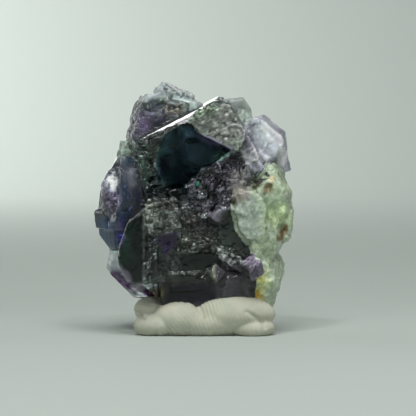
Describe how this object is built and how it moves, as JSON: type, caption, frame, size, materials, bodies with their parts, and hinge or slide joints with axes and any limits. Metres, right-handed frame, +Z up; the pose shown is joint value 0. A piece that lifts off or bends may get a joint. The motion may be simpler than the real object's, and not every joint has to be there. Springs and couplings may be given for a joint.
{
  "type": "phantom fluorite cube specimen",
  "caption": "Cluster of intergrown dark violet and green phantom fluorite cubes with pale lilac and massive green fluorite, standing upright in a pad of off-white mineral putty.",
  "frame": {"origin": "middle of the putty's flat underside", "axes": "+Z up, -Y toward the viewer of the picture, +X to the viewer's right"},
  "size_m": [0.0281, 0.0194, 0.0353],
  "materials": {
    "fluorite": "glassy crystal faces, partly etched",
    "putty": "matte kneaded putty"
  },
  "bodies": {
    "root": {"fluorite_cluster": "fluorite", "putty": "putty"}
  },
  "joints": []
}
